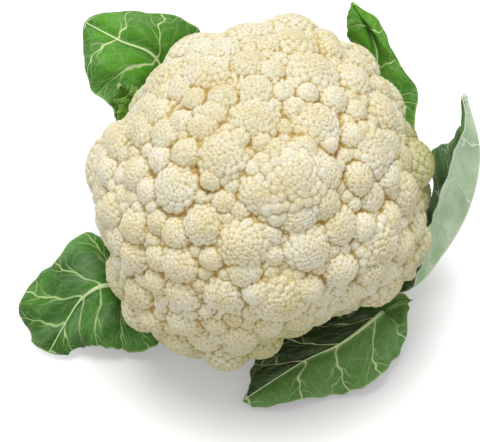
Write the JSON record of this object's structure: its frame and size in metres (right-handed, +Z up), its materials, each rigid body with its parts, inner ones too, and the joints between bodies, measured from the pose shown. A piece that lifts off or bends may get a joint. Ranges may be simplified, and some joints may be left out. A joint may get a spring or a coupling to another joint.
{
  "type": "cauliflower",
  "caption": "Whole harvested cauliflower: a round cream curd of crowded florets on a short cut stalk, with broad green leaves left round its base.",
  "frame": {"origin": "centre of the stalk's cut face, which rests on the surface", "axes": "+Z up along the stalk to the crown of the curd, -Y the side that the picture shows from above, +X to the right in the picture"},
  "size_m": [0.249, 0.212, 0.1736],
  "materials": {
    "curd": "matt, finely grained",
    "stalk": "smooth, slightly waxy",
    "leaf": "satin, waxy"
  },
  "bodies": {
    "root": {"curd": "curd", "stalk": "stalk", "leaf_back_left": "leaf", "leaf_back_left_small": "leaf", "leaf_back_right": "leaf", "leaf_right": "leaf", "leaf_front": "leaf", "leaf_left": "leaf"}
  },
  "joints": []
}
